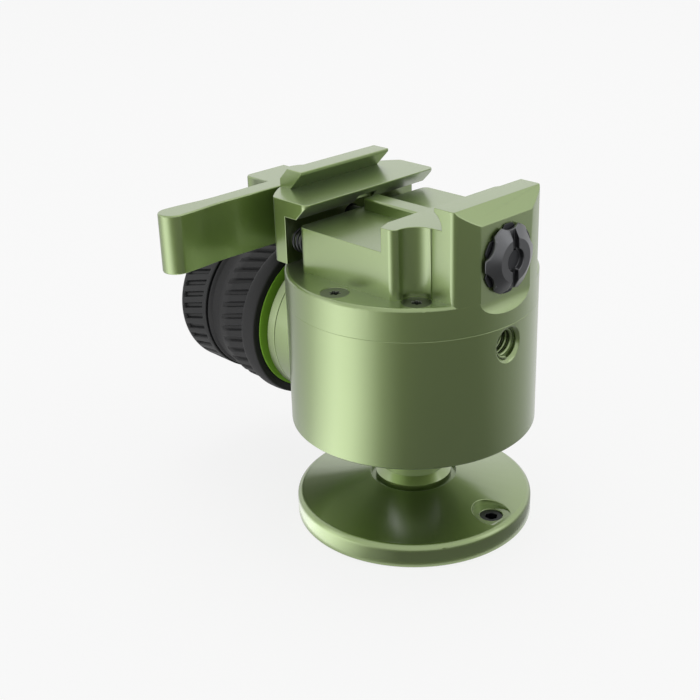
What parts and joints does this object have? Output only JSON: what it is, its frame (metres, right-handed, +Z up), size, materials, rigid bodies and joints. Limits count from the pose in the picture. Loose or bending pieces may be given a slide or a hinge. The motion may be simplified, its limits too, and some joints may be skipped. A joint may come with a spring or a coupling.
{
  "type": "ball head",
  "caption": "Ball head: ball on a round foot inside a cylindrical housing with a side locking knob, topped by a lever-release clamp with a two-width groove and a tension nut.",
  "frame": {"origin": "centre of the tripod thread's mouth, in the plane of the foot's underside", "axes": "+Z up along the axis of the foot and the housing, +X towards the fixed jaw and the tension nut along the clamping direction, Y along the clamp grooves; the locking knob points to -X"},
  "size_m": [0.0888, 0.0687, 0.0782],
  "materials": {
    "anodised": "satin olive green anodised",
    "black_steel": "black oxide",
    "ball": "turned and hard anodised",
    "seat": "acetal, natural",
    "steel": "plain spring steel",
    "shoe": "plain brass",
    "core": "plain turned aluminium",
    "rubber": "black rubber",
    "rubber_dial": "black rubber over its own hub",
    "nut": "black anodised",
    "rod": "black oxide"
  },
  "bodies": {
    "base": {"foot_plate": "anodised", "stem": "anodised", "foot_set_screw": "black_steel"},
    "ball_part": {"ball": "ball"},
    "seats": {"lower_seat": "seat", "upper_seat": "seat"},
    "head": {"spring_washer": "steel", "housing": "anodised", "boss_ring": "anodised", "clamp_base": "anodised", "clamp_screws": "black_steel", "nut_washer": "black_steel"},
    "shoe": {"brake_shoe": "shoe", "thrust_washer": "steel"},
    "knob": {"knob_shaft": "steel", "knob_collar": "anodised", "knob_core": "core", "knob_grip": "rubber", "dial_screw": "black_steel"},
    "dial": {"friction_dial": "rubber_dial"},
    "nut": {"star_nut": "nut"},
    "drawbar": {"tie_rod": "rod", "pivot_pin": "steel"},
    "lever_part": {"lever": "anodised"},
    "jaw": {"moving_jaw": "anodised", "guide_rods": "steel", "return_springs": "steel"}
  },
  "joints": [
    {"name": "pan", "type": "hinge", "parent": "base", "child": "ball_part", "pos_m": [0, 0, 0.0382], "axis": [0, 0, 1], "continuous": true},
    {"name": "tilt", "type": "hinge", "parent": "ball_part", "child": "seats", "pos_m": [0, 0, 0.0382], "axis": [1, 0, 0], "range_deg": [-20, 20]},
    {"name": "spin", "type": "hinge", "parent": "seats", "child": "head", "pos_m": [0, 0, 0.0382], "axis": [0, 0, 1], "continuous": true},
    {"name": "shoe_travel", "type": "slide", "parent": "head", "child": "shoe", "axis": [-1, 0, 0], "range_m": [0, 0.00156]},
    {"name": "knob_turn", "type": "hinge", "parent": "shoe", "child": "knob", "pos_m": [-0.04, 0, 0.0382], "axis": [-1, 0, 0], "range_deg": [0, 450]},
    {"name": "dial_turn", "type": "hinge", "parent": "knob", "child": "dial", "pos_m": [-0.055, 0, 0.0382], "axis": [-1, 0, 0], "range_deg": [0, 300]},
    {"name": "nut_turn", "type": "hinge", "parent": "head", "child": "nut", "pos_m": [0.027, 0, 0.0665], "axis": [-1, 0, 0], "range_deg": [-360, 1800]},
    {"name": "rod_draw", "type": "slide", "parent": "head", "child": "drawbar", "axis": [1, 0, 0], "range_m": [-0.0007, 0.0035]},
    {"name": "lever_swing", "type": "hinge", "parent": "drawbar", "child": "lever_part", "pos_m": [-0.034, 0, 0.067], "axis": [0, 0, -1], "range_deg": [0, 130]},
    {"name": "jaw_release", "type": "slide", "parent": "drawbar", "child": "jaw", "axis": [-1, 0, 0], "range_m": [0, 0.0018]}
  ],
  "couplings": [
    {"joint": "knob_turn", "follows": "shoe_travel", "rad_per_m": 5026.5},
    {"joint": "nut_turn", "follows": "rod_draw", "rad_per_m": 8975.9},
    {"joint": "lever_swing", "follows": "jaw_release", "rad_per_m": 1260.5}
  ]
}
